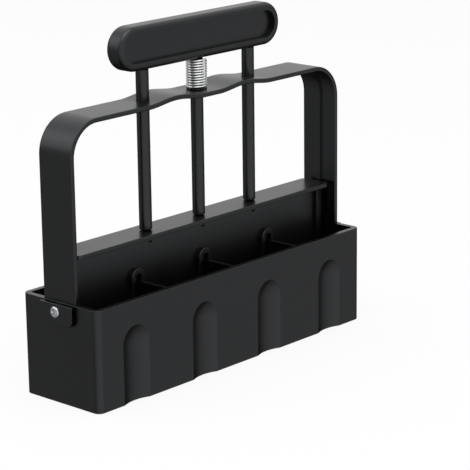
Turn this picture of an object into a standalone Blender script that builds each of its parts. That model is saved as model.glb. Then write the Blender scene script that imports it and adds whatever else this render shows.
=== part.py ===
# Soil blocker: a four-cell mould with a strap frame and a sprung plunger.
# Metres, +Z up. The origin is the centre of the mould's bottom face.
# X runs along the mould and -Y is the front.

import math

import bmesh
import bpy
import numpy
from mathutils import Matrix, Vector

# Gaps between neighbouring pieces
running_gap = 0.0003
seat_gap = 0.00015
cut_overshoot = 0.001

# Mould: four open cells in a row
mould_length = 0.2206
mould_depth = 0.0573
mould_height = 0.0573
mould_wall = 0.0033
mould_corner_radius = 0.004
cell_corner_radius = 0.0012
cell_count = 4
partition_thickness = 0.0026
rim_rounding = 0.0004
flute_width = 0.0198
flute_depth = 0.0023
flute_top = 0.0433
foot_side_gap = 0.0002

# Strap frame: an inverted U with two humps in its bar and a rib along its inside
strap_outer_inset = 0.0009
strap_width = 0.02445
strap_thickness = 0.00266
strap_rise_over_rim = 0.09843
strap_bend_radius = 0.02
strap_foot_length = 0.0133
strap_rounding = 0.0005
hump_length = 0.044
hump_rise = 0.00205
rib_width = 0.0033
rib_height = 0.001
rib_foot_clearance = 0.0007

# Side clips with their screws and inserts
clip_width = 0.0246
clip_thickness = 0.0013
clip_standoff = 0.0013
clip_drop_from_rim = 0.0005
clip_height = 0.012
clip_corner_radius = 0.0045
clip_top_radius = 0.0008
clip_rounding = 0.0003
clip_boss_radius = 0.0045
side_screw_drop = 0.005
side_screw_head_radius = 0.0032
side_screw_head_height = 0.0012
side_screw_radius = 0.0017
side_screw_slot_length = 0.0038
side_screw_slot_width = 0.0009
side_screw_slot_depth = 0.0007
side_insert_wall = 0.001
side_insert_length = 0.002

# Rods
rod_radius = 0.0036
rod_spacing = 0.043
rod_chamfer = 0.0003
rod_spigot_length = 0.0148
rod_tongue_width = 0.0065
rod_tongue_thickness = 0.0011
rod_tongue_length = 0.0095
rod_pin_width = 0.0016
rod_pin_height = 0.0006
rod_pin_recess = 0.0006
rod_pin_drop = 0.0067
rod_pin_offset = 0.002

# Spring and its seat
spring_wire = 0.001
spring_bore_clearance = 0.0014
spring_coil_gap = 0.0005
spring_top_clearance = 0.0004
spring_start_share = 0.57
seat_thickness = 0.00055

# Handle
handle_length = 0.1294
handle_height = 0.0245
handle_depth = 0.0118
handle_lift_over_bar = 0.01772
handle_edge = 0.0028
panel_border = 0.0045
panel_recess = 0.0031
panel_fillet = 0.0003
socket_wall = 0.0004
handle_screw_radius = 0.0009
handle_screw_head_radius = 0.0024
handle_screw_head_height = 0.0013
handle_screw_recess = 0.0017
handle_screw_tip = 0.0012
handle_screw_height_share = 0.33

# Bridge: the plate, web, end posts, arched collars and bosses that join rods and press plates
bridge_rise_over_rim = 0.0257
bridge_end_clearance = 0.00254
bridge_plate_width = 0.0201
bridge_plate_thickness = 0.0025
bridge_plate_corner = 0.003
bridge_plate_rounding = 0.0004
web_end_clearance = 0.0033
web_thickness = 0.0033
slot_clearance = 0.00095
slot_rise_over_rim = 0.004
collar_band = 0.0029
collar_projection = 0.00325
collar_rounding = 0.0005
post_length = 0.0042
post_projection = 0.0025
post_rounding = 0.0003
boss_radius = 0.0045
boss_height = 0.016

# Press plates and dibbers
press_plate_height = 0.016
press_plate_thickness = 0.003
press_plate_clearance = 0.0006
press_plate_corner = 0.002
press_plate_rounding = 0.0004
dibber_tip_height = 0.004
dibber_top_radius = 0.0095
dibber_tip_radius = 0.007
dibber_fillet = 0.0014
dibber_screw_radius = 0.0015
dibber_screw_head_radius = 0.0032
dibber_screw_head_height = 0.0024
dibber_screw_recess = 0.003
dibber_screw_bite = 0.012

# Facet counts
corner_steps = 4
bend_steps = 9
hump_steps = 12
arch_steps = 10
handle_steps = 14
turn_segments = 24
small_segments = 16
flute_segments = 96
flute_rings = 24
spring_points_per_turn = 9

# Derived positions
mould_half = mould_length / 2
depth_half = mould_depth / 2
cell_wall_x = mould_half - mould_wall
cell_wall_y = depth_half - mould_wall
mould_inside = 2 * cell_wall_x + partition_thickness
cell_pitch = mould_inside / cell_count
strap_half = mould_half - strap_outer_inset
strap_inner = strap_half - strap_thickness
strap_top = mould_height + strap_rise_over_rim
strap_foot_z = mould_height - strap_foot_length
side_screw_z = mould_height - side_screw_drop
coil_radius = rod_radius + spring_bore_clearance + spring_wire / 2
seat_radius = coil_radius + spring_wire / 2
hump_half = hump_length / 2
hump_centre = seat_radius + hump_half
handle_bottom = strap_top + handle_lift_over_bar
handle_half_depth = handle_depth / 2
rod_spigot_radius = handle_half_depth - panel_recess - running_gap - socket_wall
bridge_top = mould_height + bridge_rise_over_rim
bridge_underside = bridge_top - bridge_plate_thickness
bridge_plate_half = strap_inner - bridge_end_clearance
web_half_length = cell_wall_x - web_end_clearance
slot_half = partition_thickness / 2 + slot_clearance
press_plate_top = press_plate_height + press_plate_thickness
web_bottom = press_plate_top + running_gap
slot_top = mould_height + slot_rise_over_rim
collar_half = slot_half + collar_band
rod_foot = bridge_top + seat_gap
rod_head = handle_bottom - seat_gap
spigot_top = rod_head + rod_spigot_length
pin_z = bridge_top - rod_pin_drop
handle_screw_z = handle_bottom + handle_height * handle_screw_height_share
clip_inner = mould_half + clip_standoff
clip_outer = clip_inner + clip_thickness
insert_bore = side_screw_radius + running_gap
insert_outer = insert_bore + side_insert_wall
insert_inner = strap_half - side_insert_length
rod_places = {"left": -rod_spacing, "mid": 0.0, "right": rod_spacing}
cell_half = (cell_pitch - partition_thickness) / 2
cell_centres = [cell_pitch * (number + 0.5) - mould_inside / 2 for number in range(cell_count)]
cell_spans = [(centre - cell_half, centre + cell_half) for centre in cell_centres]
partition_places = [cell_pitch * number - mould_inside / 2 for number in range(1, cell_count)]


def clear_scene():
    for item in list(bpy.data.objects):
        bpy.data.objects.remove(item, do_unlink=True)


def make_material(name, color, metallic, roughness):
    material = bpy.data.materials.new(name)
    material.use_nodes = True
    shader = material.node_tree.nodes["Principled BSDF"]
    shader.inputs["Base Color"].default_value = (*color, 1.0)
    shader.inputs["Metallic"].default_value = metallic
    shader.inputs["Roughness"].default_value = roughness
    return material


def arc(centre_a, centre_b, radius, start, end, steps):
    points = []
    for step in range(steps + 1):
        angle = math.radians(start + (end - start) * step / steps)
        points.append((centre_a + radius * math.cos(angle), centre_b + radius * math.sin(angle)))
    return points


def rounded_rectangle(low_a, high_a, low_b, high_b, low_radius, high_radius):
    # low_radius rounds the two corners at low_b, high_radius the two at high_b
    points = arc(high_a - low_radius, low_b + low_radius, low_radius, 270, 360, corner_steps)
    points += arc(high_a - high_radius, high_b - high_radius, high_radius, 0, 90, corner_steps)
    points += arc(low_a + high_radius, high_b - high_radius, high_radius, 90, 180, corner_steps)
    points += arc(low_a + low_radius, low_b + low_radius, low_radius, 180, 270, corner_steps)
    return points


def rectangle(low_a, high_a, low_b, high_b):
    return [(low_a, low_b), (high_a, low_b), (high_a, high_b), (low_a, high_b)]


def stadium(half_length, low_b, high_b, steps):
    radius = (high_b - low_b) / 2
    middle = (high_b + low_b) / 2
    reach = half_length - radius
    points = arc(reach, middle, radius, -90, 90, steps)
    points += arc(-reach, middle, radius, 90, 270, steps)
    return points


def arch(centre, half_width, top, bottom):
    points = [(centre + half_width, bottom)]
    points += arc(centre, top - half_width, half_width, 0, 180, arch_steps)
    points.append((centre - half_width, bottom))
    return points


def place(axis, a, b, along):
    # a and b are the two coordinates across the axis, in X, Y, Z order
    if axis == "X":
        return Vector((along, a, b))
    if axis == "Y":
        return Vector((a, along, b))
    return Vector((a, b, along))


def add_prism(bm, outline, axis, low, high):
    verts = [bm.verts.new(place(axis, a, b, low)) for a, b in outline]
    face = bm.faces.new(verts)
    grown = bmesh.ops.extrude_face_region(bm, geom=[face])
    moved = [item for item in grown["geom"] if isinstance(item, bmesh.types.BMVert)]
    bmesh.ops.translate(bm, verts=moved, vec=place(axis, 0, 0, high - low))


def add_turned(bm, profile, origin, axis, segments, ring=False):
    # profile holds (radius, distance along the axis) pairs; a ring profile is a closed loop
    side = {"X": "Z", "Y": "Z", "Z": "X"}[axis]
    turn = {"X": Vector((1, 0, 0)), "Y": Vector((0, 1, 0)), "Z": Vector((0, 0, 1))}
    verts = []
    for radius, along in profile:
        verts.append(bm.verts.new(origin + turn[axis] * along + turn[side] * radius))
    edges = [bm.edges.new(pair) for pair in zip(verts, verts[1:])]
    if ring:
        edges.append(bm.edges.new((verts[-1], verts[0])))
    bmesh.ops.spin(
        bm, geom=verts + edges, cent=origin, axis=turn[axis], angle=2 * math.pi, steps=segments, use_merge=True)


def add_cylinder(bm, radius, origin, axis, low, high, segments):
    add_turned(bm, [(0.0, high), (radius, high), (radius, low), (0.0, low)], origin, axis, segments)


def finish(name, bm, material=None, smooth_angle=35):
    bmesh.ops.remove_doubles(bm, verts=bm.verts, dist=running_gap / 100)
    bmesh.ops.recalc_face_normals(bm, faces=bm.faces)
    mesh = bpy.data.meshes.new(name)
    bm.to_mesh(mesh)
    bm.free()
    mesh.shade_smooth()
    mesh.set_sharp_from_angle(angle=math.radians(smooth_angle))
    item = bpy.data.objects.new(name, mesh)
    bpy.context.scene.collection.objects.link(item)
    if material:
        mesh.materials.append(material)
    return item


def set_origin(item, point):
    item.data.transform(Matrix.Translation(-Vector(point)))
    item.location = point


def add_bevel(item, width, segments=2, angle=60):
    bevel = item.modifiers.new("edge", "BEVEL")
    bevel.width = width
    bevel.segments = segments
    bevel.limit_method = "ANGLE"
    bevel.angle_limit = math.radians(angle)


def combine(item, tool, operation):
    tool.hide_render = True
    tool.display_type = "WIRE"
    boolean = item.modifiers.new(tool.name, "BOOLEAN")
    boolean.operation = operation
    boolean.object = tool
    boolean.solver = "EXACT"


def bar_rise(x):
    # Height of the bar's two humps over its flat parts
    away = abs(abs(x) - hump_centre)
    if away >= hump_half:
        return 0.0
    return hump_rise * (1 + math.cos(math.pi * away / hump_half)) / 2


def strap_side(depth, foot_z):
    # One side of the strap's band, depth inside its outer face, from the left foot to the right
    reach = strap_half - strap_bend_radius
    centre_z = strap_top - strap_bend_radius
    radius = strap_bend_radius - depth
    points = [(depth - strap_half, foot_z)]
    points += arc(-reach, centre_z, radius, 180, 90, bend_steps)
    inner_end = hump_centre - hump_half
    stations = [-hump_centre - hump_half + hump_length * step / hump_steps for step in range(hump_steps + 1)]
    stations += [inner_end + hump_length * step / hump_steps for step in range(hump_steps + 1)]
    points += [(x, strap_top - depth + bar_rise(x)) for x in stations]
    points += arc(reach, centre_z, radius, 90, 0, bend_steps)
    points.append((strap_half - depth, foot_z))
    return points


def build_mould(material):
    bm = bmesh.new()
    outline = rounded_rectangle(
        -mould_half, mould_half, -depth_half, depth_half, mould_corner_radius, mould_corner_radius)
    add_prism(bm, outline, "Z", 0.0, mould_height)
    mould = finish("mould_box", bm, material)
    add_bevel(mould, rim_rounding)

    bm = bmesh.new()
    for low, high in cell_spans:
        outline = rounded_rectangle(low, high, -cell_wall_y, cell_wall_y, cell_corner_radius, cell_corner_radius)
        add_prism(bm, outline, "Z", -cut_overshoot, mould_height + cut_overshoot)
    combine(mould, finish("cut_cells", bm), "DIFFERENCE")

    # Each flute is a shallow scoop with an arched top, open at the bottom edge
    scoop_radius = (flute_width ** 2 / 4 + flute_depth ** 2) / (2 * flute_depth)
    scoop_y = depth_half + scoop_radius - flute_depth
    scoop_top = flute_top - flute_width / 2
    profile = []
    for step in range(flute_rings + 1):
        angle = math.pi / 2 * step / flute_rings
        profile.append((scoop_radius * math.sin(angle), scoop_top + scoop_radius * math.cos(angle)))
    profile += [(scoop_radius, -cut_overshoot), (0.0, -cut_overshoot)]
    for side_name, side in (("front", -1), ("back", 1)):
        for number, centre in enumerate(cell_centres, 1):
            bm = bmesh.new()
            add_turned(bm, profile, Vector((centre, side * scoop_y, 0.0)), "Z", flute_segments)
            combine(mould, finish(f"cut_flute_{side_name}_{number}", bm), "DIFFERENCE")

    # Pockets in the end walls for the strap's feet, and holes for the side screws
    bm = bmesh.new()
    pocket_half = strap_width / 2 + running_gap
    for side in (-1, 1):
        span = sorted((side * (strap_half + foot_side_gap), side * (cell_wall_x - cut_overshoot)))
        outline = rectangle(span[0], span[1], -pocket_half, pocket_half)
        add_prism(bm, outline, "Z", strap_foot_z - running_gap, mould_height + cut_overshoot)
    combine(mould, finish("cut_foot_pockets", bm), "DIFFERENCE")
    bm = bmesh.new()
    for side in (-1, 1):
        span = sorted((side * (mould_half + cut_overshoot), side * (cell_wall_x - cut_overshoot)))
        origin = Vector((0.0, 0.0, side_screw_z))
        add_cylinder(bm, insert_bore, origin, "X", span[0], span[1], small_segments)
    combine(mould, finish("cut_side_holes", bm), "DIFFERENCE")


def build_strap(material):
    bm = bmesh.new()
    outline = strap_side(0.0, strap_foot_z) + strap_side(strap_thickness, strap_foot_z)[::-1]
    add_prism(bm, outline, "Y", -strap_width / 2, strap_width / 2)
    strap = finish("frame_strap", bm, material, 50)
    add_bevel(strap, strap_rounding)

    rib_foot = mould_height + rib_foot_clearance
    rib_back = strap_thickness / 2
    bm = bmesh.new()
    outline = strap_side(rib_back, rib_foot) + strap_side(strap_thickness + rib_height, rib_foot)[::-1]
    add_prism(bm, outline, "Y", -rib_width / 2, rib_width / 2)
    combine(strap, finish("add_rib", bm), "UNION")

    bm = bmesh.new()
    hole_low = strap_top - strap_thickness - rib_height - cut_overshoot
    hole_high = strap_top + hump_rise + cut_overshoot
    for x in rod_places.values():
        origin = Vector((x, 0.0, 0.0))
        add_cylinder(bm, rod_radius + running_gap, origin, "Z", hole_low, hole_high, turn_segments)
    combine(strap, finish("cut_rod_holes", bm), "DIFFERENCE")
    bm = bmesh.new()
    for side in (-1, 1):
        span = sorted((side * (strap_half + cut_overshoot), side * (insert_inner - seat_gap)))
        origin = Vector((0.0, 0.0, side_screw_z))
        add_cylinder(bm, insert_outer + seat_gap, origin, "X", span[0], span[1], turn_segments)
    combine(strap, finish("cut_insert_holes", bm), "DIFFERENCE")


def build_side(side_name, side, plastic, steel, brass):
    clip_top = mould_height - clip_drop_from_rim
    bm = bmesh.new()
    outline = rounded_rectangle(
        -clip_width / 2, clip_width / 2, clip_top - clip_height, clip_top, clip_corner_radius, clip_top_radius)
    span = sorted((side * clip_inner, side * clip_outer))
    add_prism(bm, outline, "X", span[0], span[1])
    clip = finish(f"side_clip_{side_name}", bm, plastic)
    add_bevel(clip, clip_rounding)
    axis_point = Vector((0.0, 0.0, side_screw_z))
    bm = bmesh.new()
    span = sorted((side * (mould_half + seat_gap), side * (clip_inner + clip_thickness / 2)))
    add_cylinder(bm, clip_boss_radius, axis_point, "X", span[0], span[1], turn_segments)
    combine(clip, finish(f"add_boss_{side_name}", bm), "UNION")
    bm = bmesh.new()
    span = sorted((side * (mould_half - cut_overshoot), side * (clip_outer + cut_overshoot)))
    add_cylinder(bm, insert_bore, axis_point, "X", span[0], span[1], small_segments)
    combine(clip, finish(f"cut_clip_{side_name}", bm), "DIFFERENCE")

    # Pan head with a cross slot, its shank ending flush with the insert's inner end
    seat = clip_outer + seat_gap
    head_top = seat + side_screw_head_height
    shoulder = seat + side_screw_head_height / 2
    profile = [(0.0, head_top), (side_screw_head_radius / 2, head_top)]
    for step in range(1, corner_steps + 1):
        angle = math.pi / 2 * step / corner_steps
        radius = side_screw_head_radius / 2 * (1 + math.sin(angle))
        profile.append((radius, shoulder + side_screw_head_height / 2 * math.cos(angle)))
    profile += [(side_screw_head_radius, seat), (side_screw_radius, seat)]
    profile += [(side_screw_radius, insert_inner), (0.0, insert_inner)]
    profile = [(radius, side * along) for radius, along in profile]
    bm = bmesh.new()
    add_turned(bm, profile, axis_point, "X", turn_segments)
    screw = finish(f"side_screw_{side_name}", bm, steel)
    half_long = side_screw_slot_length / 2
    half_wide = side_screw_slot_width / 2
    bm = bmesh.new()
    outline = [
        (half_long, -half_wide), (half_long, half_wide), (half_wide, half_wide), (half_wide, half_long),
        (-half_wide, half_long), (-half_wide, half_wide), (-half_long, half_wide), (-half_long, -half_wide),
        (-half_wide, -half_wide), (-half_wide, -half_long), (half_wide, -half_long), (half_wide, -half_wide),
    ]
    outline = [(a, b + side_screw_z) for a, b in outline]
    span = sorted((side * (head_top - side_screw_slot_depth), side * (head_top + cut_overshoot)))
    add_prism(bm, outline, "X", span[0], span[1])
    combine(screw, finish(f"cut_cross_{side_name}", bm), "DIFFERENCE")

    bm = bmesh.new()
    span = sorted((side * insert_inner, side * strap_half))
    profile = [(insert_outer, span[1]), (insert_outer, span[0]), (insert_bore, span[0]), (insert_bore, span[1])]
    add_turned(bm, profile, axis_point, "X", turn_segments, ring=True)
    finish(f"side_insert_{side_name}", bm, brass)


def pin_outline(x, gap):
    # Section of a flat cross pin beside the rod's axis, or of its hole when there is a gap
    low_x = x + rod_pin_offset - rod_pin_width / 2 - gap
    low_z = pin_z - rod_pin_height / 2 - gap
    return rectangle(low_x, low_x + rod_pin_width + 2 * gap, low_z, low_z + rod_pin_height + 2 * gap)


def build_rod(rod_name, x, black, steel):
    axis_point = Vector((x, 0.0, 0.0))
    profile = [
        (0.0, spigot_top), (rod_spigot_radius - rod_chamfer, spigot_top),
        (rod_spigot_radius, spigot_top - rod_chamfer), (rod_spigot_radius, rod_head),
        (rod_radius - rod_chamfer, rod_head), (rod_radius, rod_head - rod_chamfer),
        (rod_radius, rod_foot + rod_chamfer), (rod_radius - rod_chamfer, rod_foot), (0.0, rod_foot),
    ]
    bm = bmesh.new()
    add_turned(bm, profile, axis_point, "Z", turn_segments)
    rod = finish(f"rod_{rod_name}", bm, black)
    bm = bmesh.new()
    half_width = rod_tongue_width / 2
    half_thick = rod_tongue_thickness / 2
    outline = rectangle(x - half_width, x + half_width, -half_thick, half_thick)
    add_prism(bm, outline, "Z", rod_foot - rod_tongue_length, rod_foot + rod_radius)
    combine(rod, finish(f"add_tongue_{rod_name}", bm), "UNION")
    bm = bmesh.new()
    reach = rod_radius + cut_overshoot
    add_prism(bm, pin_outline(x, seat_gap), "Y", -reach, reach)
    screw_hole = handle_screw_radius + running_gap
    add_cylinder(bm, screw_hole, Vector((x, 0.0, handle_screw_z)), "Y", -reach, reach, small_segments)
    combine(rod, finish(f"cut_cross_holes_{rod_name}", bm), "DIFFERENCE")
    set_origin(rod, axis_point)

    bm = bmesh.new()
    pin_half = web_thickness / 2 - rod_pin_recess
    add_prism(bm, pin_outline(x, 0.0), "Y", -pin_half, pin_half)
    finish(f"rod_pin_{rod_name}", bm, black)

    head_seat = handle_half_depth - handle_screw_recess + seat_gap
    head_top = head_seat + handle_screw_head_height
    profile = [
        (0.0, head_top), (handle_screw_head_radius - rod_chamfer, head_top),
        (handle_screw_head_radius, head_top - rod_chamfer), (handle_screw_head_radius, head_seat),
        (handle_screw_radius, head_seat), (handle_screw_radius, -handle_screw_tip), (0.0, -handle_screw_tip),
    ]
    bm = bmesh.new()
    add_turned(bm, profile, Vector((x, 0.0, handle_screw_z)), "Y", small_segments)
    finish(f"handle_screw_{rod_name}", bm, steel)


def build_spring(steel, black):
    seat_low = strap_top + seat_gap
    seat_high = seat_low + seat_thickness
    bore = rod_radius + running_gap
    profile = [(seat_radius, seat_high), (seat_radius, seat_low), (bore, seat_low), (bore, seat_high)]
    bm = bmesh.new()
    add_turned(bm, profile, Vector((0.0, 0.0, 0.0)), "Z", turn_segments, ring=True)
    finish("spring_seat", bm, black)

    # Open coil at a steady pitch; each end runs straight and level for one wire diameter
    low = seat_high + seat_gap + spring_wire / 2
    high = handle_bottom - spring_top_clearance - spring_wire / 2
    pitch = spring_wire + spring_coil_gap
    turns = (high - low) / pitch
    start_angle = 2 * math.pi * spring_start_share
    end_angle = start_angle + 2 * math.pi * turns
    count = round(turns * spring_points_per_turn)
    coil = []
    for step in range(count + 1):
        angle = start_angle + 2 * math.pi * turns * step / count
        height = low + (high - low) * step / count
        coil.append(Vector((coil_radius * math.cos(angle), coil_radius * math.sin(angle), height)))
    lead_in = coil[0] + Vector((math.sin(start_angle), -math.cos(start_angle), 0.0)) * spring_wire
    lead_out = coil[-1] + Vector((-math.sin(end_angle), math.cos(end_angle), 0.0)) * spring_wire
    path = [lead_in] + coil + [lead_out]
    curve = bpy.data.curves.new("spring", "CURVE")
    curve.dimensions = "3D"
    curve.bevel_depth = spring_wire / 2
    curve.bevel_resolution = 1
    curve.use_fill_caps = True
    spline = curve.splines.new("POLY")
    spline.points.add(len(path) - 1)
    for point, place_at in zip(spline.points, path):
        point.co = (*place_at, 1.0)
    curve.materials.append(steel)
    spring = bpy.data.objects.new("spring", curve)
    bpy.context.scene.collection.objects.link(spring)

    # Least gap of the wire to itself, from points along it half a turn or more apart
    fine = []
    for first, second in zip(path, path[1:]):
        for step in range(8):
            fine.append(tuple(first.lerp(second, step / 8)))
    fine = numpy.array(fine)
    apart = 8 * spring_points_per_turn // 2
    least = min(
        float(numpy.linalg.norm(fine[index + apart:] - fine[index], axis=1).min())
        for index in range(len(fine) - apart))
    print(f"spring: {turns:.2f} turns, least gap to itself {(least - spring_wire) * 1000:.2f} mm")


def build_handle(material):
    bm = bmesh.new()
    handle_top = handle_bottom + handle_height
    outline = stadium(handle_length / 2, handle_bottom, handle_top, handle_steps)
    add_prism(bm, outline, "Y", -handle_half_depth, handle_half_depth)
    handle = finish("handle", bm, material)
    add_bevel(handle, handle_edge, segments=3)
    bm = bmesh.new()
    outline = stadium(
        handle_length / 2 - panel_border, handle_bottom + panel_border, handle_top - panel_border, handle_steps)
    add_prism(bm, outline, "Y", -handle_half_depth - panel_border, panel_recess - handle_half_depth)
    panel = finish("cut_panel", bm)
    add_bevel(panel, panel_fillet)
    combine(handle, panel, "DIFFERENCE")
    for rod_name, x in rod_places.items():
        bm = bmesh.new()
        add_cylinder(
            bm, rod_spigot_radius + running_gap, Vector((x, 0.0, 0.0)), "Z",
            handle_bottom - cut_overshoot, spigot_top + running_gap, turn_segments)
        combine(handle, finish(f"cut_socket_{rod_name}", bm), "DIFFERENCE")
        recess_floor = handle_half_depth - handle_screw_recess
        head_hole = handle_screw_head_radius + running_gap
        shank_hole = handle_screw_radius + running_gap
        profile = [
            (0.0, handle_half_depth + cut_overshoot), (head_hole, handle_half_depth + cut_overshoot),
            (head_hole, recess_floor), (shank_hole, recess_floor), (shank_hole, 0.0), (0.0, 0.0),
        ]
        bm = bmesh.new()
        add_turned(bm, profile, Vector((x, 0.0, handle_screw_z)), "Y", small_segments)
        combine(handle, finish(f"cut_handle_screw_{rod_name}", bm), "DIFFERENCE")


def build_bridge(material):
    width_half = bridge_plate_width / 2
    bm = bmesh.new()
    outline = rounded_rectangle(
        -bridge_plate_half, bridge_plate_half, -width_half, width_half, bridge_plate_corner,
        bridge_plate_corner)
    add_prism(bm, outline, "Z", bridge_underside, bridge_top)
    bridge = finish("bridge", bm, material)
    add_bevel(bridge, bridge_plate_rounding)

    web_half = web_thickness / 2
    web_top = bridge_underside + bridge_plate_thickness / 2
    bm = bmesh.new()
    reach = web_half_length - post_length / 2
    add_prism(bm, rectangle(-reach, reach, -web_half, web_half), "Z", web_bottom - cut_overshoot, web_top)
    combine(bridge, finish("add_web", bm), "UNION")

    # A thicker post ends the web on each side
    bm = bmesh.new()
    reach = web_half + post_projection
    for side in (-1, 1):
        span = sorted((side * web_half_length, side * (web_half_length - post_length)))
        foot = web_bottom - 4 * cut_overshoot
        add_prism(bm, rectangle(span[0], span[1], -reach, reach), "Z", foot, web_top)
    posts = finish("add_posts", bm)
    add_bevel(posts, post_rounding)
    combine(bridge, posts, "UNION")

    # An arched collar on each side of the web rides over every partition
    bm = bmesh.new()
    for x in partition_places:
        reach = web_half + collar_projection
        foot = web_bottom - 2 * cut_overshoot
        add_prism(bm, arch(x, collar_half, slot_top + collar_band, foot), "Y", -reach, reach)
    collars = finish("add_collars", bm)
    add_bevel(collars, collar_rounding)
    combine(bridge, collars, "UNION")
    bm = bmesh.new()
    for x in cell_centres:
        origin = Vector((x, 0.0, 0.0))
        foot = web_bottom - 3 * cut_overshoot
        add_cylinder(bm, boss_radius, origin, "Z", foot, web_bottom + boss_height, turn_segments)
    combine(bridge, finish("add_bosses", bm), "UNION")

    # The web, collars and bosses are trimmed level over the press plates
    bm = bmesh.new()
    reach = boss_radius + collar_projection + cut_overshoot
    outline = rectangle(-bridge_plate_half, bridge_plate_half, -reach, reach)
    add_prism(bm, outline, "Z", web_bottom - 5 * cut_overshoot, web_bottom)
    combine(bridge, finish("trim_foot", bm), "DIFFERENCE")
    bm = bmesh.new()
    for x in partition_places:
        reach = web_half + collar_projection + cut_overshoot
        add_prism(bm, arch(x, slot_half, slot_top, web_bottom - cut_overshoot), "Y", -reach, reach)
    combine(bridge, finish("cut_slots", bm), "DIFFERENCE")
    bm = bmesh.new()
    for x in cell_centres:
        origin = Vector((x, 0.0, 0.0))
        screw_hole = dibber_screw_radius + running_gap
        hole_top = web_bottom + dibber_screw_bite + running_gap
        add_cylinder(bm, screw_hole, origin, "Z", web_bottom - cut_overshoot, hole_top, small_segments)
    combine(bridge, finish("cut_boss_holes", bm), "DIFFERENCE")
    for rod_name, x in rod_places.items():
        half_width = rod_tongue_width / 2 + running_gap
        half_thick = rod_tongue_thickness / 2 + running_gap
        slot_low = rod_foot - rod_tongue_length - running_gap
        bm = bmesh.new()
        outline = rectangle(x - half_width, x + half_width, -half_thick, half_thick)
        add_prism(bm, outline, "Z", slot_low, bridge_top + cut_overshoot)
        combine(bridge, finish(f"cut_rod_slot_{rod_name}", bm), "DIFFERENCE")
        bm = bmesh.new()
        reach = web_half + cut_overshoot
        add_prism(bm, pin_outline(x, seat_gap), "Y", -reach, reach)
        combine(bridge, finish(f"cut_pin_{rod_name}", bm), "DIFFERENCE")


def build_cell(number, span, centre, black, steel):
    low = span[0] + press_plate_clearance
    high = span[1] - press_plate_clearance
    side = cell_wall_y - press_plate_clearance
    bm = bmesh.new()
    outline = rounded_rectangle(low, high, -side, side, press_plate_corner, press_plate_corner)
    add_prism(bm, outline, "Z", press_plate_height, press_plate_top)
    plate = finish(f"press_plate_{number}", bm, black)
    add_bevel(plate, press_plate_rounding)
    bm = bmesh.new()
    origin = Vector((centre, 0.0, 0.0))
    screw_hole = dibber_screw_radius + running_gap
    hole_low = press_plate_height - cut_overshoot
    hole_high = press_plate_top + cut_overshoot
    add_cylinder(bm, screw_hole, origin, "Z", hole_low, hole_high, small_segments)
    combine(plate, finish(f"cut_plate_{number}", bm), "DIFFERENCE")

    # Tapered peg with a screw through it, its head sunk in the tip
    top = press_plate_height - seat_gap
    head_hole = dibber_screw_head_radius + running_gap
    recess_floor = dibber_tip_height + dibber_screw_recess
    profile = [(screw_hole, top), (dibber_top_radius, top)]
    profile += arc(
        dibber_tip_radius - dibber_fillet, dibber_tip_height + dibber_fillet, dibber_fillet, 0, -90, corner_steps)
    profile += [(head_hole, dibber_tip_height), (head_hole, recess_floor), (screw_hole, recess_floor)]
    bm = bmesh.new()
    add_turned(bm, profile, origin, "Z", turn_segments, ring=True)
    finish(f"dibber_{number}", bm, black)

    head_seat = recess_floor - seat_gap
    head_low = head_seat - dibber_screw_head_height
    profile = [
        (0.0, web_bottom + dibber_screw_bite), (dibber_screw_radius, web_bottom + dibber_screw_bite),
        (dibber_screw_radius, head_seat), (dibber_screw_head_radius, head_seat),
        (dibber_screw_head_radius, head_low + rod_chamfer), (dibber_screw_head_radius - rod_chamfer, head_low),
        (0.0, head_low),
    ]
    bm = bmesh.new()
    add_turned(bm, profile, origin, "Z", small_segments)
    finish(f"dibber_screw_{number}", bm, steel)


def main():
    clear_scene()
    mould_plastic = make_material("mould_plastic", (0.012, 0.012, 0.013), 0.0, 0.42)
    strap_plastic = make_material("strap_plastic", (0.013, 0.013, 0.014), 0.0, 0.40)
    clip_plastic = make_material("clip_plastic", (0.012, 0.012, 0.013), 0.0, 0.42)
    handle_plastic = make_material("handle_plastic", (0.014, 0.014, 0.015), 0.0, 0.38)
    bridge_plastic = make_material("bridge_plastic", (0.013, 0.013, 0.014), 0.0, 0.42)
    plate_plastic = make_material("plate_plastic", (0.012, 0.012, 0.013), 0.0, 0.45)
    rod_black = make_material("rod_black", (0.014, 0.014, 0.015), 0.0, 0.32)
    seat_black = make_material("seat_black", (0.010, 0.010, 0.010), 0.0, 0.50)
    spring_steel = make_material("spring_steel", (0.72, 0.73, 0.74), 1.0, 0.22)
    screw_steel = make_material("screw_steel", (0.66, 0.67, 0.69), 1.0, 0.28)
    insert_brass = make_material("insert_brass", (0.70, 0.52, 0.25), 1.0, 0.35)
    build_mould(mould_plastic)
    build_strap(strap_plastic)
    for side_name, side in (("left", -1), ("right", 1)):
        build_side(side_name, side, clip_plastic, screw_steel, insert_brass)
    for rod_name, x in rod_places.items():
        build_rod(rod_name, x, rod_black, screw_steel)
    build_spring(spring_steel, seat_black)
    build_handle(handle_plastic)
    build_bridge(bridge_plastic)
    for number, (span, centre) in enumerate(zip(cell_spans, cell_centres), 1):
        build_cell(number, span, centre, plate_plastic, screw_steel)


main()
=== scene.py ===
import math

import bmesh
import bpy
from mathutils import Matrix, Vector


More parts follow.
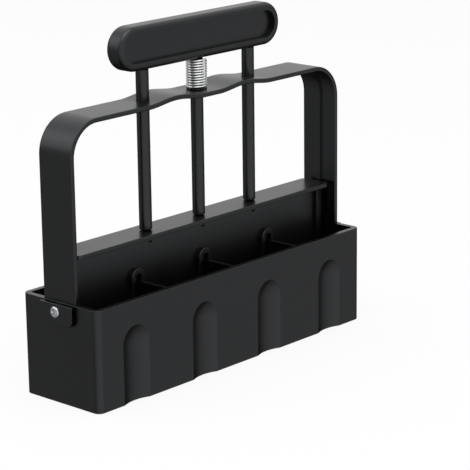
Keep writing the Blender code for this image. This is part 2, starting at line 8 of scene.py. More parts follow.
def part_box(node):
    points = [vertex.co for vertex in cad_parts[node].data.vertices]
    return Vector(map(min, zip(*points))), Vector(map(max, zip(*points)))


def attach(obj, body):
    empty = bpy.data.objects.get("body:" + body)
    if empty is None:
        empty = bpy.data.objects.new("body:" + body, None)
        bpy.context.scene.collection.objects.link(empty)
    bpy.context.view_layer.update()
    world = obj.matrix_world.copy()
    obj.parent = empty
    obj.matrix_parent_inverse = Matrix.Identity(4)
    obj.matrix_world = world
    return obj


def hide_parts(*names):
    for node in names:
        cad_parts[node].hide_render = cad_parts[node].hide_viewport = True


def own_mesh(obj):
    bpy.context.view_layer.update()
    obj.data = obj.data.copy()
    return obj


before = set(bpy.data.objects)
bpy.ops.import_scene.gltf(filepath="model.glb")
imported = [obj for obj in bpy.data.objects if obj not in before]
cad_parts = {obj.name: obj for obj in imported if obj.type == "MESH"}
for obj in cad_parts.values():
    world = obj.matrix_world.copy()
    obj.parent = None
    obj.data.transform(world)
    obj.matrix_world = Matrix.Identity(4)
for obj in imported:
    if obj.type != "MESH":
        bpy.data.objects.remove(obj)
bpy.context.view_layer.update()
scene = bpy.context.scene
print("frame loaded:", len(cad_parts), "nodes")

# Sizes shared by several pieces, read from the frame where it has them, in metres
runningGap, overshoot = 0.0003, 0.001
mouldHalf, depthHalf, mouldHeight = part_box("mould_box")[1]
mouldWall, partition, cellCount = 0.0033, 0.0026, 4
cellWallX, cellWallY = mouldHalf - mouldWall, depthHalf - mouldWall
cellPitch = (2 * cellWallX + partition) / cellCount
cellCentres = [cellPitch * (number + 0.5 - cellCount / 2) for number in range(cellCount)]
cellHalf = (cellPitch - partition) / 2
partitionPlaces = [cellPitch * (number - cellCount / 2) for number in range(1, cellCount)]
strapThickness, humpRise = 0.00266, 0.00205
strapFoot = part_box("frame_strap")[0][2]
strapHalf, strapDepthHalf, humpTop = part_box("frame_strap")[1]
strapInner, strapTop = strapHalf - strapThickness, humpTop - humpRise
sideScrewHeight = sum(corner[2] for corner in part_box("side_insert_left")) / 2
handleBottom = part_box("handle")[0][2]
handleHalf, handleDepthHalf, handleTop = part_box("handle")[1]
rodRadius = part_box("rod_left")[1][1]
rodPlaces = {
    side: sum(corner[0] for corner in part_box("rod_" + side)) / 2 for side in ("left", "mid", "right")}
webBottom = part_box("bridge")[0][2]
bridgeHalf, bridgeDepthHalf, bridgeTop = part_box("bridge")[1]
pinHeight = sum(corner[2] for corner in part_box("rod_pin_left")) / 2
gripScrewHeight = sum(corner[2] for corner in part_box("handle_screw_left")) / 2
seatLow, seatHigh = (corner[2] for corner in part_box("spring_seat"))
springFoot, springHead = (corner[2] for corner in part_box("spring"))
print("sizes read, cell pitch", round(cellPitch, 5))


# Shader maths written as expressions
class Field:
    def __init__(self, surface, output):
        self.surface = surface
        self.output = output

    def math(self, operation, first, second):
        return self.surface.add("Math", {"operation": operation}, {0: first, 1: second})

    def __add__(self, other):
        return self.math("ADD", self, other)

    def __radd__(self, other):
        return self.math("ADD", other, self)

    def __sub__(self, other):
        return self.math("SUBTRACT", self, other)

    def __rsub__(self, other):
        return self.math("SUBTRACT", other, self)

    def __mul__(self, other):
        return self.math("MULTIPLY", self, other)


class Surface:
    def __init__(self, name, holder=None):
        self.holder = holder or bpy.data.materials.new(name)
        self.holder.use_nodes = True
        self.tree = self.holder.node_tree
        self.tree.nodes.clear()

    def add(self, kind, settings=None, sockets=None, output=0):
        node = self.tree.nodes.new("ShaderNode" + kind)
        for key, value in (settings or {}).items():
            setattr(node, key, value)
        for key, value in (sockets or {}).items():
            self.feed(node.inputs[key], value)
        return Field(self, node.outputs[output])

    def feed(self, socket, value):
        if isinstance(value, Field):
            self.tree.links.new(value.output, socket)
        elif socket.type == "RGBA" and len(value) == 3:
            socket.default_value = (*value, 1.0)
        else:
            socket.default_value = value

    def mixColor(self, factor, first, second):
        return self.add("Mix", {"data_type": "RGBA"}, {0: factor, 6: first, 7: second}, 2)

    def stretch(self, vector, factors):
        return self.add("VectorMath", {"operation": "MULTIPLY"}, {0: vector, 1: factors})

    def noise(self, vector, scale, detail=2.0, rough=0.5):
        sockets = {"Vector": vector, "Scale": scale, "Detail": detail, "Roughness": rough}
        return self.add("TexNoise", {}, sockets)

    def ramp(self, value, low, high):
        limits = {"Value": value, "From Min": low, "From Max": high}
        return self.add("MapRange", {"clamp": True}, limits)

    def facing(self, vector, direction):
        return self.add("VectorMath", {"operation": "DOT_PRODUCT"}, {0: vector, 1: direction}, 1)

    def place(self):
        # Object coordinates
        return self.add("TexCoord", {}, {}, 3)

    def rays(self, *names):
        node = self.tree.nodes.new("ShaderNodeLightPath")
        return [Field(self, node.outputs[name]) for name in names]

    def finish(self, shader, outputKind="OutputMaterial"):
        node = self.tree.nodes.new("ShaderNode" + outputKind)
        self.tree.links.new(shader.output, node.inputs[0])
        return self.holder


def moulded(name, look):
    # Satin moulded plastic: a fine spark texture, faint flow clouds and light scuffs from handling
    surface = Surface(name)
    place = surface.place()
    grain = surface.noise(place, look["grain"], 2.0)
    clouds = surface.noise(place, 38.0, 3.0, 0.55)
    streaks = surface.noise(surface.stretch(place, look["flow"]), 90.0, 2.0)
    scratches = surface.noise(surface.stretch(place, (1.0, 1.0, 0.16)), 700.0, 3.0)
    scuffs = surface.ramp(scratches, 0.62, 0.78)
    tone = surface.ramp(clouds * 0.6 + streaks * 0.4, 0.3, 0.7)
    color = surface.mixColor(tone, look["dark"], look["light"])
    roughness = look["roughness"] + (clouds - 0.5) * 0.10 + (grain - 0.5) * 0.08 + scuffs * look["scuff"]
    if "matte" in look:
        # Rougher below a height: matteFade gives where that starts and where it is full
        height = surface.facing(place, (0.0, 0.0, 1.0))
        roughness = roughness + surface.ramp(height, *look["matteFade"]) * look["matte"]
    bump = surface.add("Bump", {}, {
        "Height": grain + clouds * 0.4, "Strength": look["bump"], "Distance": 0.00003})
    shader = surface.add("BsdfPrincipled", {}, {
        "Base Color": color, "Roughness": roughness, "Normal": bump,
        "Specular IOR Level": look["specular"], "Specular Tint": (0.92, 0.955, 1.0)})
    return surface.finish(shader)


def plated(name, look):
    # Bright plated steel with drawing lines along the wire and a faint haze
    surface = Surface(name)
    place = surface.place()
    haze = surface.noise(place, 260.0, 3.0)
    lines = surface.noise(surface.stretch(place, look["lines"]), 900.0, 2.0)
    color = surface.mixColor(surface.ramp(haze, 0.3, 0.7), look["dark"], look["light"])
    roughness = look["roughness"] + (haze - 0.5) * 0.12 + (lines - 0.5) * 0.10
    bump = surface.add("Bump", {}, {"Height": lines, "Strength": look["bump"], "Distance": 0.00002})
    shader = surface.add("BsdfPrincipled", {}, {
        "Base Color": color, "Metallic": look["metallic"], "Roughness": roughness, "Normal": bump})
    return surface.finish(shader)


# Outlines
def arc(centreA, centreB, radius, start, end, steps):
    points = []
    for step in range(steps + 1):
        angle = math.radians(start + (end - start) * step / steps)
        points.append((centreA + radius * math.cos(angle), centreB + radius * math.sin(angle)))
    return points


def roundedRectangle(lowA, highA, lowB, highB, lowRadius, highRadius, steps=8):
    points = arc(highA - lowRadius, lowB + lowRadius, lowRadius, 270, 360, steps)
    points += arc(highA - highRadius, highB - highRadius, highRadius, 0, 90, steps)
    points += arc(lowA + highRadius, highB - highRadius, highRadius, 90, 180, steps)
    points += arc(lowA + lowRadius, lowB + lowRadius, lowRadius, 180, 270, steps)
    return points


def rectangle(lowA, highA, lowB, highB):
    return [(lowA, lowB), (highA, lowB), (highA, highB), (lowA, highB)]


def stadium(halfLength, lowB, highB, steps=32):
    radius = (highB - lowB) / 2
    middle = (highB + lowB) / 2
    reach = halfLength - radius
    return arc(reach, middle, radius, -90, 90, steps) + arc(-reach, middle, radius, 90, 270, steps)


def arch(centre, halfWidth, top, bottom):
    points = [(centre + halfWidth, bottom)]
    points += arc(centre, top - halfWidth, halfWidth, 0, 180, 28)
    points.append((centre - halfWidth, bottom))
    return points


def across(axis, a, b, along):
    if axis == "X":
        return Vector((along, a, b))
    if axis == "Y":
        return Vector((a, along, b))
    return Vector((a, b, along))


# Mesh building
def addLoft(bm, rings):
    # Joins closed rings of equal length and caps both ends
    rows = [[bm.verts.new(point) for point in ring] for ring in rings]
    for lower, upper in zip(rows, rows[1:]):
        for index in range(len(lower)):
            after = (index + 1) % len(lower)
            bm.faces.new((lower[index], lower[after], upper[after], upper[index]))
    bm.faces.new(rows[0][::-1])
    bm.faces.new(rows[-1])


def addPrism(bm, outline, axis, low, high):
    addLoft(bm, [[across(axis, a, b, along) for a, b in outline] for along in (low, high)])


def sideSpan(side, one, other):
    # Two distances from the middle as a rising pair on one side
    return sorted((side * one, side * other))


def addTurned(bm, profile, origin, axis, segments=48, ring=False):
    # Turns (radius, along) pairs round an axis; a ring's profile is closed
    side = {"X": "Z", "Y": "Z", "Z": "X"}[axis]
    turn = {"X": Vector((1, 0, 0)), "Y": Vector((0, 1, 0)), "Z": Vector((0, 0, 1))}
    verts = [
        bm.verts.new(Vector(origin) + turn[axis] * along + turn[side] * radius) for radius, along in profile]
    edges = [bm.edges.new(pair) for pair in zip(verts, verts[1:])]
    if ring:
        edges.append(bm.edges.new((verts[-1], verts[0])))
    bmesh.ops.spin(
        bm, geom=verts + edges, cent=origin, axis=turn[axis], angle=2 * math.pi, steps=segments,
        use_merge=True)


def addCylinder(bm, radius, origin, axis, low, high, segments=48):
    addTurned(bm, [(0.0, high), (radius, high), (radius, low), (0.0, low)], origin, axis, segments)


def makeObject(name, bm, material=None, smoothAngle=35):
    bmesh.ops.remove_doubles(bm, verts=bm.verts, dist=0.000002)
    bmesh.ops.recalc_face_normals(bm, faces=bm.faces)
    mesh = bpy.data.meshes.new(name)
    bm.to_mesh(mesh)
    bm.free()
    mesh.shade_smooth()
    mesh.set_sharp_from_angle(angle=math.radians(smoothAngle))
    item = bpy.data.objects.new(name, mesh)
    scene.collection.objects.link(item)
    if material:
        mesh.materials.append(material)
    return item


def addBevel(item, width, segments=3, angle=50):
    bevel = item.modifiers.new("edge", "BEVEL")
    bevel.width = width
    bevel.segments = segments
    bevel.limit_method = "ANGLE"
    bevel.angle_limit = math.radians(angle)


tools = []


def combine(item, tool, operation="DIFFERENCE"):
    boolean = item.modifiers.new(tool.name, "BOOLEAN")
    boolean.operation = operation
    boolean.object = tool
    boolean.solver = "EXACT"
    tools.append(tool)


def bake(item, smoothAngle=35):
    # Applies the modifiers and removes the cutting tools
    graph = bpy.context.evaluated_depsgraph_get()
    mesh = bpy.data.meshes.new_from_object(item.evaluated_get(graph))
    item.modifiers.clear()
    item.data = mesh
    for tool in tools:
        bpy.data.objects.remove(tool, do_unlink=True)
    tools.clear()
    mesh.shade_smooth()
    mesh.set_sharp_from_angle(angle=math.radians(smoothAngle))
    # Area-weighted normals keep the flat faces flat beside their roundings
    weighted = item.modifiers.new("normals", "WEIGHTED_NORMAL")
    weighted.keep_sharp = True
    graph = bpy.context.evaluated_depsgraph_get()
    item.data = bpy.data.meshes.new_from_object(item.evaluated_get(graph))
    item.modifiers.clear()


def dress(item, body, slot, *nodes):
    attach(item, body)
    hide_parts(*nodes)
    print("piece:", item.name, len(item.data.polygons))


def repaint(node, material):
    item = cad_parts[node]
    item.data.materials.clear()
    item.data.materials.append(material)


# Mould
mouldLook = {
    "dark": (0.0007, 0.0007, 0.0008), "light": (0.0014, 0.0014, 0.0016), "roughness": 0.29, "specular": 0.52,
    "grain": 2600.0, "bump": 0.25, "scuff": 0.05, "flow": (0.25, 1.0, 1.0),
    "rim": 0.00025, "corner": 0.004, "cellCorner": 0.0012, "pocketGap": 0.0002, "screwHole": 0.002,
    "fluteWidth": 0.0198, "fluteDepth": 0.0023, "fluteTop": 0.0433,
}


def flaredCell(bm, low, high):
    # A cell cutter whose mouth rounds outwards at top and bottom
    rim, corner = mouldLook["rim"], mouldLook["cellCorner"]
    stations = [(-overshoot, rim), (0.0, rim)]
    for step in range(1, 6):
        angle = math.pi / 2 * step / 5
        stations.append((rim * (1 - math.cos(angle)), rim * (1 - math.sin(angle))))
    upper = [(mouldHeight - height, flare) for height, flare in stations[::-1]]
    rings = []
    for height, flare in stations + upper:
        outline = roundedRectangle(
            low - flare, high + flare, -cellWallY - flare, cellWallY + flare, corner + flare, corner + flare, 5)
        rings.append([Vector((a, b, height)) for a, b in outline])
    addLoft(bm, rings)


def buildMould():
    material = moulded("mould plastic", mouldLook)
    bm = bmesh.new()
    corner = mouldLook["corner"]
    outline = roundedRectangle(-mouldHalf, mouldHalf, -depthHalf, depthHalf, corner, corner, 12)
    addPrism(bm, outline, "Z", 0.0, mouldHeight)
    mould = makeObject("mould_shell", bm, material)
    addBevel(mould, mouldLook["rim"], 4, 60)
    width, depth = mouldLook["fluteWidth"], mouldLook["fluteDepth"]
    scoop = (width ** 2 / 4 + depth ** 2) / (2 * depth)
    scoopTop = mouldLook["fluteTop"] - width / 2
    profile = []
    for step in range(61):
        angle = math.pi / 2 * step / 60
        profile.append((scoop * math.sin(angle), scoopTop + scoop * math.cos(angle)))
    profile += [(scoop, -overshoot), (0.0, -overshoot)]
    for side in (-1, 1):
        for centre in cellCentres:
            bm = bmesh.new()
            addTurned(bm, profile, Vector((centre, side * (depthHalf + scoop - depth), 0.0)), "Z", 240)
            combine(mould, makeObject("flute_cutter", bm))
    bm = bmesh.new()
    for centre in cellCentres:
        flaredCell(bm, centre - cellHalf, centre + cellHalf)
    combine(mould, makeObject("cell_cutter", bm))
    bm = bmesh.new()
    pocketHalf = strapDepthHalf + runningGap
    for side in (-1, 1):
        near, far = sideSpan(side, strapHalf + mouldLook["pocketGap"], cellWallX - overshoot)
        outline = rectangle(near, far, -pocketHalf, pocketHalf)
        addPrism(bm, outline, "Z", strapFoot - runningGap, mouldHeight + overshoot)
    combine(mould, makeObject("pocket_cutter", bm))
    bm = bmesh.new()
    for side in (-1, 1):
        near, far = sideSpan(side, mouldHalf + overshoot, cellWallX - overshoot)
        addCylinder(bm, mouldLook["screwHole"], Vector((0.0, 0.0, sideScrewHeight)), "X", near, far)
    combine(mould, makeObject("hole_cutter", bm))
    bake(mould, 24)
    dress(mould, "frame", "mould_plastic", "mould_box")


# Strap frame
strapLook = {
    "dark": (0.0007, 0.0007, 0.0008), "light": (0.0014, 0.0014, 0.0016), "roughness": 0.29, "specular": 0.52,
    "grain": 2400.0, "bump": 0.22, "scuff": 0.05, "flow": (1.0, 1.0, 0.25),
    "bend": 0.02, "edge": 0.0006, "humpCentre": 0.028, "humpHalf": 0.022,
    "ribSteps": ((0.0047, 0.0005), (0.0029, 0.001)), "ribLift": 0.0007, "ribEdge": 0.00015,
    "rodCut": 0.006, "insertRadius": 0.00315, "insertDepth": 0.00215,
}


def barRise(x):
    away = abs(abs(x) - strapLook["humpCentre"])
    if away >= strapLook["humpHalf"]:
        return 0.0
    return humpRise * (1 + math.cos(math.pi * away / strapLook["humpHalf"])) / 2


def strapSide(depth, foot):
    bend = strapLook["bend"]
    reach = strapHalf - bend
    points = [(depth - strapHalf, foot)]
    points += arc(-reach, strapTop - bend, bend - depth, 180, 90, 28)
    half, centre = strapLook["humpHalf"], strapLook["humpCentre"]
    for middle in (-centre, centre):
        for step in range(41):
            x = middle - half + 2 * half * step / 40
            points.append((x, strapTop - depth + barRise(x)))
    points += arc(reach, strapTop - bend, bend - depth, 90, 0, 28)
    points.append((strapHalf - depth, foot))
    return points


def buildStrap():
    material = moulded("strap plastic", strapLook)
    bm = bmesh.new()
    outline = strapSide(0.0, strapFoot) + strapSide(strapThickness, strapFoot)[::-1]
    addPrism(bm, outline, "Y", -strapDepthHalf, strapDepthHalf)
    strap = makeObject("strap_band", bm, material)
    addBevel(strap, strapLook["edge"], 4, 50)
    ribFoot = mouldHeight + strapLook["ribLift"]
    for width, height in strapLook["ribSteps"]:
        bm = bmesh.new()
        outline = strapSide(strapThickness / 2, ribFoot)
        outline += strapSide(strapThickness + height, ribFoot)[::-1]
        addPrism(bm, outline, "Y", -width / 2, width / 2)
        rib = makeObject("rib_tool", bm)
        addBevel(rib, strapLook["ribEdge"], 2, 50)
        combine(strap, rib, "UNION")
    bm = bmesh.new()
    for x in rodPlaces.values():
        low, high = strapTop - strapLook["rodCut"], humpTop + overshoot
        addCylinder(bm, rodRadius + runningGap, Vector((x, 0.0, 0.0)), "Z", low, high)
    combine(strap, makeObject("rod_cutter", bm))
    bm = bmesh.new()
    for side in (-1, 1):
        near, far = sideSpan(side, strapHalf + overshoot, strapHalf - strapLook["insertDepth"])
        addCylinder(bm, strapLook["insertRadius"], Vector((0.0, 0.0, sideScrewHeight)), "X", near, far)
    combine(strap, makeObject("insert_cutter", bm))
    bake(strap, 40)
    dress(strap, "frame", "strap_plastic", "frame_strap")


# Side clips and screws
clipLook = {
    "dark": (0.0007, 0.0007, 0.0008), "light": (0.0014, 0.0014, 0.0016), "roughness": 0.29, "specular": 0.52,
    "grain": 2800.0, "bump": 0.22, "scuff": 0.04, "flow": (1.0, 0.3, 1.0),
    "inner": 0.1116, "outer": 0.1129, "top": 0.0568, "bottom": 0.0448, "halfWidth": 0.0123,
    "lowCorner": 0.0045, "highCorner": 0.0008, "edge": 0.0003, "hole": 0.002, "holeSpan": (0.109, 0.114),
    "boss": 0.0045, "bossSpan": (0.11045, 0.1122),
    "screw": (0.11305, 0.0012, 0.0032, 0.0017, strapHalf - 0.002),
}
screwLook = {
    "dark": (0.50, 0.51, 0.53), "light": (0.72, 0.73, 0.75), "roughness": 0.26, "bump": 0.3, "metallic": 1.0,
    "lines": (1.0, 0.2, 1.0),
}
insertLook = {
    "dark": (0.50, 0.36, 0.16), "light": (0.70, 0.52, 0.25), "roughness": 0.34, "bump": 0.3, "metallic": 1.0,
    "lines": (1.0, 0.2, 1.0),
}


def crossOutline(halfLong, halfWide):
    corners = [(halfLong, halfWide), (halfWide, halfWide), (halfWide, halfLong)]
    points = []
    for turn in range(4):
        for a, b in corners:
            for _ in range(turn):
                a, b = -b, a
            points.append((a, b))
    return points


def buildScrew(name, body, origin, axis, side, steps, screwMaterial, nodes):
    # Steps gives the head's seat, height and radius, then the shank's radius and tip
    seat, height, radius, shank, tip = steps
    top = seat + height
    profile = [(0.0, top), (radius * 0.45, top)]
    for step in range(1, 9):
        angle = math.pi / 2 * step / 8
        profile.append((
            radius * (0.45 + 0.55 * math.sin(angle)), seat + height * (0.35 + 0.65 * math.cos(angle))))
    profile += [(radius, seat), (shank, seat), (shank, tip), (0.0, tip)]
    bm = bmesh.new()
    addTurned(bm, [(r, side * along) for r, along in profile], origin, axis, 48)
    screw = makeObject(name, bm, screwMaterial, 40)
    rings = []
    for share, along in ((1.0, top + overshoot), (1.0, top - height * 0.1), (0.62, top - height * 0.62)):
        outline = crossOutline(radius * 0.56 * share, radius * 0.13 * share)
        if axis == "X":
            outline = [(a, b + origin[2]) for a, b in outline]
        elif axis == "Y":
            outline = [(a + origin[0], b + origin[2]) for a, b in outline]
        else:
            outline = [(a + origin[0], b + origin[1]) for a, b in outline]
        rings.append([across(axis, a, b, side * along) for a, b in outline])
    bm = bmesh.new()
    addLoft(bm, rings)
    combine(screw, makeObject("cross_cutter", bm))
    bake(screw, 35)
    dress(screw, body, "screw_steel", *nodes)


def buildSides():
    material = moulded("clip plastic", clipLook)
    steel = plated("screw steel", screwLook)
    brass = plated("insert brass", insertLook)
    for sideName, side in (("left", -1), ("right", 1)):
        bm = bmesh.new()
        outline = roundedRectangle(
            -clipLook["halfWidth"], clipLook["halfWidth"], clipLook["bottom"], clipLook["top"],
            clipLook["lowCorner"], clipLook["highCorner"], 10)
        addPrism(bm, outline, "X", *sideSpan(side, clipLook["inner"], clipLook["outer"]))
        clip = makeObject("clip_" + sideName, bm, material)
        addBevel(clip, clipLook["edge"], 3, 50)
        middle = Vector((0.0, 0.0, sideScrewHeight))
        bm = bmesh.new()
        addCylinder(bm, clipLook["boss"], middle, "X", *sideSpan(side, *clipLook["bossSpan"]))
        combine(clip, makeObject("boss_tool", bm), "UNION")
        bm = bmesh.new()
        addCylinder(bm, clipLook["hole"], middle, "X", *sideSpan(side, *clipLook["holeSpan"]))
        combine(clip, makeObject("clip_cutter", bm))
        bake(clip, 35)
        dress(clip, "frame", "clip_plastic", "side_clip_" + sideName)
        buildScrew(
            "clip_screw_" + sideName, "frame", middle, "X", side, clipLook["screw"], steel,
            ["side_screw_" + sideName])
        repaint("side_insert_" + sideName, brass)
    return steel


# Rods
rodLook = {
    "dark": (0.0007, 0.0007, 0.0008), "light": (0.0014, 0.0014, 0.0016), "roughness": 0.24, "specular": 0.52,
    "grain": 3200.0, "bump": 0.12, "scuff": 0.06, "flow": (1.0, 1.0, 0.1),
    "footLift": 0.00025, "headGap": 0.00015, "headEdge": 0.0003, "footEdge": 0.0006,
    "spigot": 0.0021, "spigotLength": 0.01465, "tongueHalf": 0.00325, "tongueThick": 0.00055,
    "tongueDrop": 0.0095, "tongueRise": 0.003, "screwBore": 0.0012, "cutReach": 0.005,
}
# The rod pins' look is painted shade: a dull, barely reflecting copy of the black plastic, so the pins read as
# the dark holes they sit in; near, far and half size the pin holes
pinShadeLook = {
    "dark": (0.0007, 0.0007, 0.0008), "light": (0.0014, 0.0014, 0.0016), "roughness": 0.5, "specular": 0.10,
    "grain": 3200.0, "bump": 0.12, "scuff": 0.06, "flow": (1.0, 1.0, 1.0),
    "near": 0.0003, "far": 0.00295, "half": 0.0005,
}


def pinHole(x):
    # The pin's hole sits to the right of the rod's axis
    half = pinShadeLook["half"]
    return rectangle(x + pinShadeLook["near"], x + pinShadeLook["far"], pinHeight - half, pinHeight + half)


def buildRods():
    material = moulded("rod black", rodLook)
    foot, head = bridgeTop + rodLook["footLift"], handleBottom - rodLook["headGap"]
    top, spigot = handleBottom + rodLook["spigotLength"], rodLook["spigot"]
    headEdge, footEdge, reach = rodLook["headEdge"], rodLook["footEdge"], rodLook["cutReach"]
    profile = [
        (0.0, top), (spigot - headEdge, top), (spigot, top - headEdge), (spigot, head),
        (rodRadius - headEdge, head), (rodRadius, head - headEdge), (rodRadius, foot + footEdge),
        (rodRadius - footEdge, foot), (0.0, foot),
    ]
    tongueHalf, tongueThick = rodLook["tongueHalf"], rodLook["tongueThick"]
    for rodName, x in rodPlaces.items():
        bm = bmesh.new()
        addTurned(bm, profile, Vector((x, 0.0, 0.0)), "Z", 72)
        rod = makeObject("rod_bar_" + rodName, bm, material)
        bm = bmesh.new()
        outline = rectangle(x - tongueHalf, x + tongueHalf, -tongueThick, tongueThick)
        addPrism(bm, outline, "Z", foot - rodLook["tongueDrop"], foot + rodLook["tongueRise"])
        combine(rod, makeObject("tongue_tool", bm), "UNION")
        bm = bmesh.new()
        addPrism(bm, pinHole(x), "Y", -reach, reach)
        addCylinder(bm, rodLook["screwBore"], Vector((x, 0.0, gripScrewHeight)), "Y", -reach, reach, 32)
        combine(rod, makeObject("pin_cutter", bm))
        bake(rod, 35)
        dress(rod, "plunger", "rod_black", "rod_" + rodName)


# Spring and its seat
springLook = {
    "dark": (0.74, 0.75, 0.76), "light": (0.92, 0.92, 0.93), "roughness": 0.2, "bump": 0.2, "metallic": 0.75,
    "lines": (0.3, 0.3, 1.0), "wire": 0.0005, "radius": 0.0055, "pitch": 0.00147, "startShare": 0.36,
    "pressedShare": 0.788,
}
seatLook = {
    "dark": (0.004, 0.004, 0.004), "light": (0.007, 0.007, 0.007), "roughness": 0.5, "specular": 0.35,
    "grain": 3000.0, "bump": 0.2, "scuff": 0.03, "flow": (1.0, 1.0, 1.0),
    "radius": 0.0058, "topEdge": 0.0002, "footEdge": 0.0001,
}


def buildSpring():
    radius, wire = springLook["radius"], springLook["wire"]
    low, high = springFoot + wire, springHead - wire
    turns = (high - low) / springLook["pitch"]
    startAngle = 2 * math.pi * springLook["startShare"]
    endAngle = startAngle + 2 * math.pi * turns
    count = round(turns * 40)
    coil = []
    for step in range(count + 1):
        angle = startAngle + 2 * math.pi * turns * step / count
        height = low + (high - low) * step / count
        coil.append(Vector((radius * math.cos(angle), radius * math.sin(angle), height)))
    leadIn = coil[0] + Vector((math.sin(startAngle), -math.cos(startAngle), 0.0)) * 2 * wire
    leadOut = coil[-1] + Vector((-math.sin(endAngle), math.cos(endAngle), 0.0)) * 2 * wire
    path = [leadIn] + coil + [leadOut]
    curve = bpy.data.curves.new("spring_path", "CURVE")
    curve.dimensions = "3D"
    curve.bevel_depth = wire
    curve.bevel_resolution = 4
    curve.use_fill_caps = True
    spline = curve.splines.new("POLY")
    spline.points.add(len(path) - 1)
    for point, at in zip(spline.points, path):
        point.co = (*at, 1.0)
    guide = bpy.data.objects.new("spring_guide", curve)
    scene.collection.objects.link(guide)
    graph = bpy.context.evaluated_depsgraph_get()
    mesh = bpy.data.meshes.new_from_object(guide.evaluated_get(graph))
    bpy.data.objects.remove(guide, do_unlink=True)
    spring = bpy.data.objects.new("spring_coil", mesh)
    scene.collection.objects.link(spring)
    mesh.materials.clear()
    mesh.materials.append(plated("spring steel", springLook))
    mesh.shade_smooth()
    dress(spring, "spring_carrier", "spring_steel", "spring")
    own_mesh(spring)
    bm = bmesh.new()
    bore, rim = rodRadius + runningGap, seatLook["radius"]
    topEdge, footEdge = seatLook["topEdge"], seatLook["footEdge"]
    profile = [
        (rim - topEdge, seatHigh), (rim, seatHigh - topEdge), (rim, seatLow + footEdge),
        (rim - footEdge, seatLow), (bore, seatLow), (bore, seatHigh),
    ]
    addTurned(bm, profile, Vector((0.0, 0.0, 0.0)), "Z", 72, ring=True)
    ring = makeObject("seat_ring", bm, moulded("seat black", seatLook))
    dress(ring, "spring_carrier", "seat_black", "spring_seat")


# Handle
handleLook = {
    "dark": (0.0007, 0.0007, 0.0008), "light": (0.0014, 0.0014, 0.0016), "roughness": 0.29, "specular": 0.52,
    "grain": 2600.0, "bump": 0.22, "scuff": 0.06, "flow": (0.25, 1.0, 1.0),
    "edge": 0.0028, "border": 0.0045, "recess": 0.0031, "mouth": 0.00012,
    "socket": 0.0024, "socketDepth": 0.01495, "headHole": 0.0027, "headReach": 0.007, "screwBore": 0.0012,
    "screwFloor": 0.0017, "screw": (0.0013, 0.0024, 0.0009, -0.0012), "screwGap": 0.00015,
}


def buildHandle(steel):
    material = moulded("handle plastic", handleLook)
    # Dull copy of the black plastic, painted shade for the pins in their holes
    pinPaintedShade = moulded("pin painted shade", pinShadeLook)
    front = -handleDepthHalf
    bm = bmesh.new()
    addPrism(bm, stadium(handleHalf, handleBottom, handleTop, 40), "Y", front, -front)
    handle = makeObject("handle_grip", bm, material)
    addBevel(handle, handleLook["edge"], 8, 60)
    # Panel cutter: slightly rounded mouth, straight wall, sharp floor
    border, recess, mouth = (handleLook[key] for key in ("border", "recess", "mouth"))
    stations = [(front - overshoot, -mouth), (front, -mouth)]
    for step in range(1, 4):
        angle = math.pi / 2 * step / 3
        stations.append((front + mouth * (1 - math.cos(angle)), -mouth * (1 - math.sin(angle))))
    stations.append((front + recess, 0.0))
    rings = []
    for along, inset in stations:
        shrink = border + inset
        outline = stadium(handleHalf - shrink, handleBottom + shrink, handleTop - shrink, 40)
        rings.append([Vector((a, along, b)) for a, b in outline])
    bm = bmesh.new()
    addLoft(bm, rings)
    combine(handle, makeObject("panel_cutter", bm))
    floor = -front - handleLook["screwFloor"]
    headHole, headReach, bore = (handleLook[key] for key in ("headHole", "headReach", "screwBore"))
    profile = [(0.0, headReach), (headHole, headReach), (headHole, floor), (bore, floor), (bore, 0.0), (0.0, 0.0)]
    for x in rodPlaces.values():
        bm = bmesh.new()
        low, high = handleBottom - overshoot, handleBottom + handleLook["socketDepth"]
        addCylinder(bm, handleLook["socket"], Vector((x, 0.0, 0.0)), "Z", low, high)
        combine(handle, makeObject("socket_cutter", bm))
        bm = bmesh.new()
        addTurned(bm, profile, Vector((x, 0.0, gripScrewHeight)), "Y", 40)
        combine(handle, makeObject("head_cutter", bm))
    bake(handle, 30)
    dress(handle, "plunger", "handle_plastic", "handle")
    for rodName, x in rodPlaces.items():
        buildScrew(
            "grip_screw_" + rodName, "plunger", Vector((x, 0.0, gripScrewHeight)), "Y", 1,
            (floor + handleLook["screwGap"], *handleLook["screw"]), steel, ["handle_screw_" + rodName])
        # The pins get the dull black, painted shade of the holes around them
        repaint("rod_pin_" + rodName, pinPaintedShade)


# Bridge
bridgeLook = {
    "dark": (0.0007, 0.0007, 0.0008), "light": (0.0014, 0.0014, 0.0016), "roughness": 0.29, "specular": 0.52,
    "grain": 2600.0, "bump": 0.25, "scuff": 0.03, "flow": (0.25, 1.0, 1.0),
    "matte": 0.10, "matteFade": (0.0775, 0.074),
    "corner": 0.003, "thickness": 0.0025, "webHalf": 0.00165, "slotHalf": 0.00225, "slotRise": 0.004,
    "band": 0.0029, "collar": 0.00325, "webEnd": 0.0033, "postLength": 0.0042, "post": 0.0025,
    "edge": 0.0004, "postEdge": 0.0003, "collarEdge": 0.0005, "join": 0.0012,
    "boss": 0.0045, "bossRise": 0.016, "screwHole": 0.0018, "screwRise": 0.0123,
    "tongueHalf": 0.00355, "tongueThick": 0.00085, "tongueDrop": 0.00965, "pinReach": 0.003,
}


